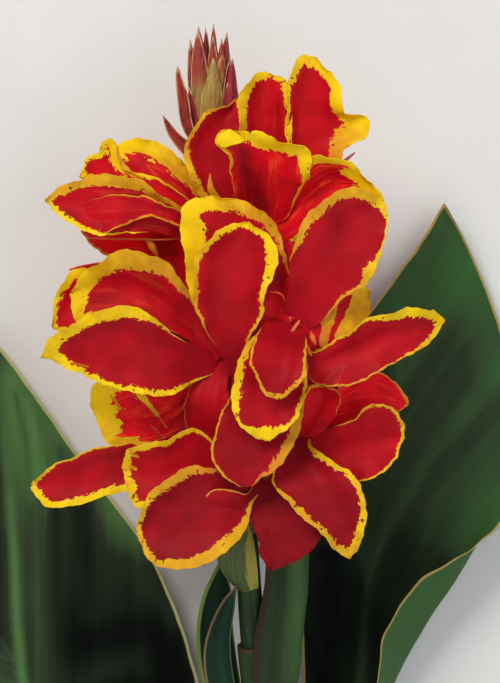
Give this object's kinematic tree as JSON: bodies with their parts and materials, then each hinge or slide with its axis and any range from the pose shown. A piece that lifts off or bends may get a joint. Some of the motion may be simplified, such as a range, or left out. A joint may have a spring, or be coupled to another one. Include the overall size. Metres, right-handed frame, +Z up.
{
  "type": "canna lily shoot",
  "caption": "Cut canna lily shoot lying face up: crowded red flowers with ragged yellow edges, buds, and broad green leaves.",
  "frame": {"origin": "middle of the flat strip that the lowest leaf sheath rests on, 60 mm above the stem's cut end", "axes": "+Y along the stem from the cut end to the buds, +Z up, the way the flower head looks, +X to its right"},
  "size_m": [0.352, 0.617, 0.1265],
  "materials": {
    "petal": "soft red petal with a ragged yellow edge",
    "calyx": "satin, green flushed with red",
    "bud": "dusty red over olive",
    "bract": "satin olive",
    "stem": "satin green",
    "leaf": "satin leaf with a thin pale margin"
  },
  "bodies": {
    "root": {"stem": "stem", "flower_top": "petal", "calyx_top": "calyx", "flower_upper_left": "petal", "calyx_upper_left": "calyx", "flower_left": "petal", "calyx_left": "calyx", "flower_centre": "petal", "calyx_centre": "calyx", "flower_right": "petal", "calyx_right": "calyx", "flower_lower_right": "petal", "calyx_lower_right": "calyx", "flower_bottom": "petal", "calyx_bottom": "calyx", "flower_back_left": "petal", "calyx_back_left": "calyx", "flower_back_right": "petal", "calyx_back_right": "calyx", "flower_back_bottom": "petal", "calyx_back_bottom": "calyx", "leaf_left": "leaf", "leaf_right": "leaf", "leaf_upper": "leaf", "leaf_small_back": "leaf", "leaf_small_front": "leaf", "bract": "bract", "buds": "bud"}
  },
  "joints": []
}
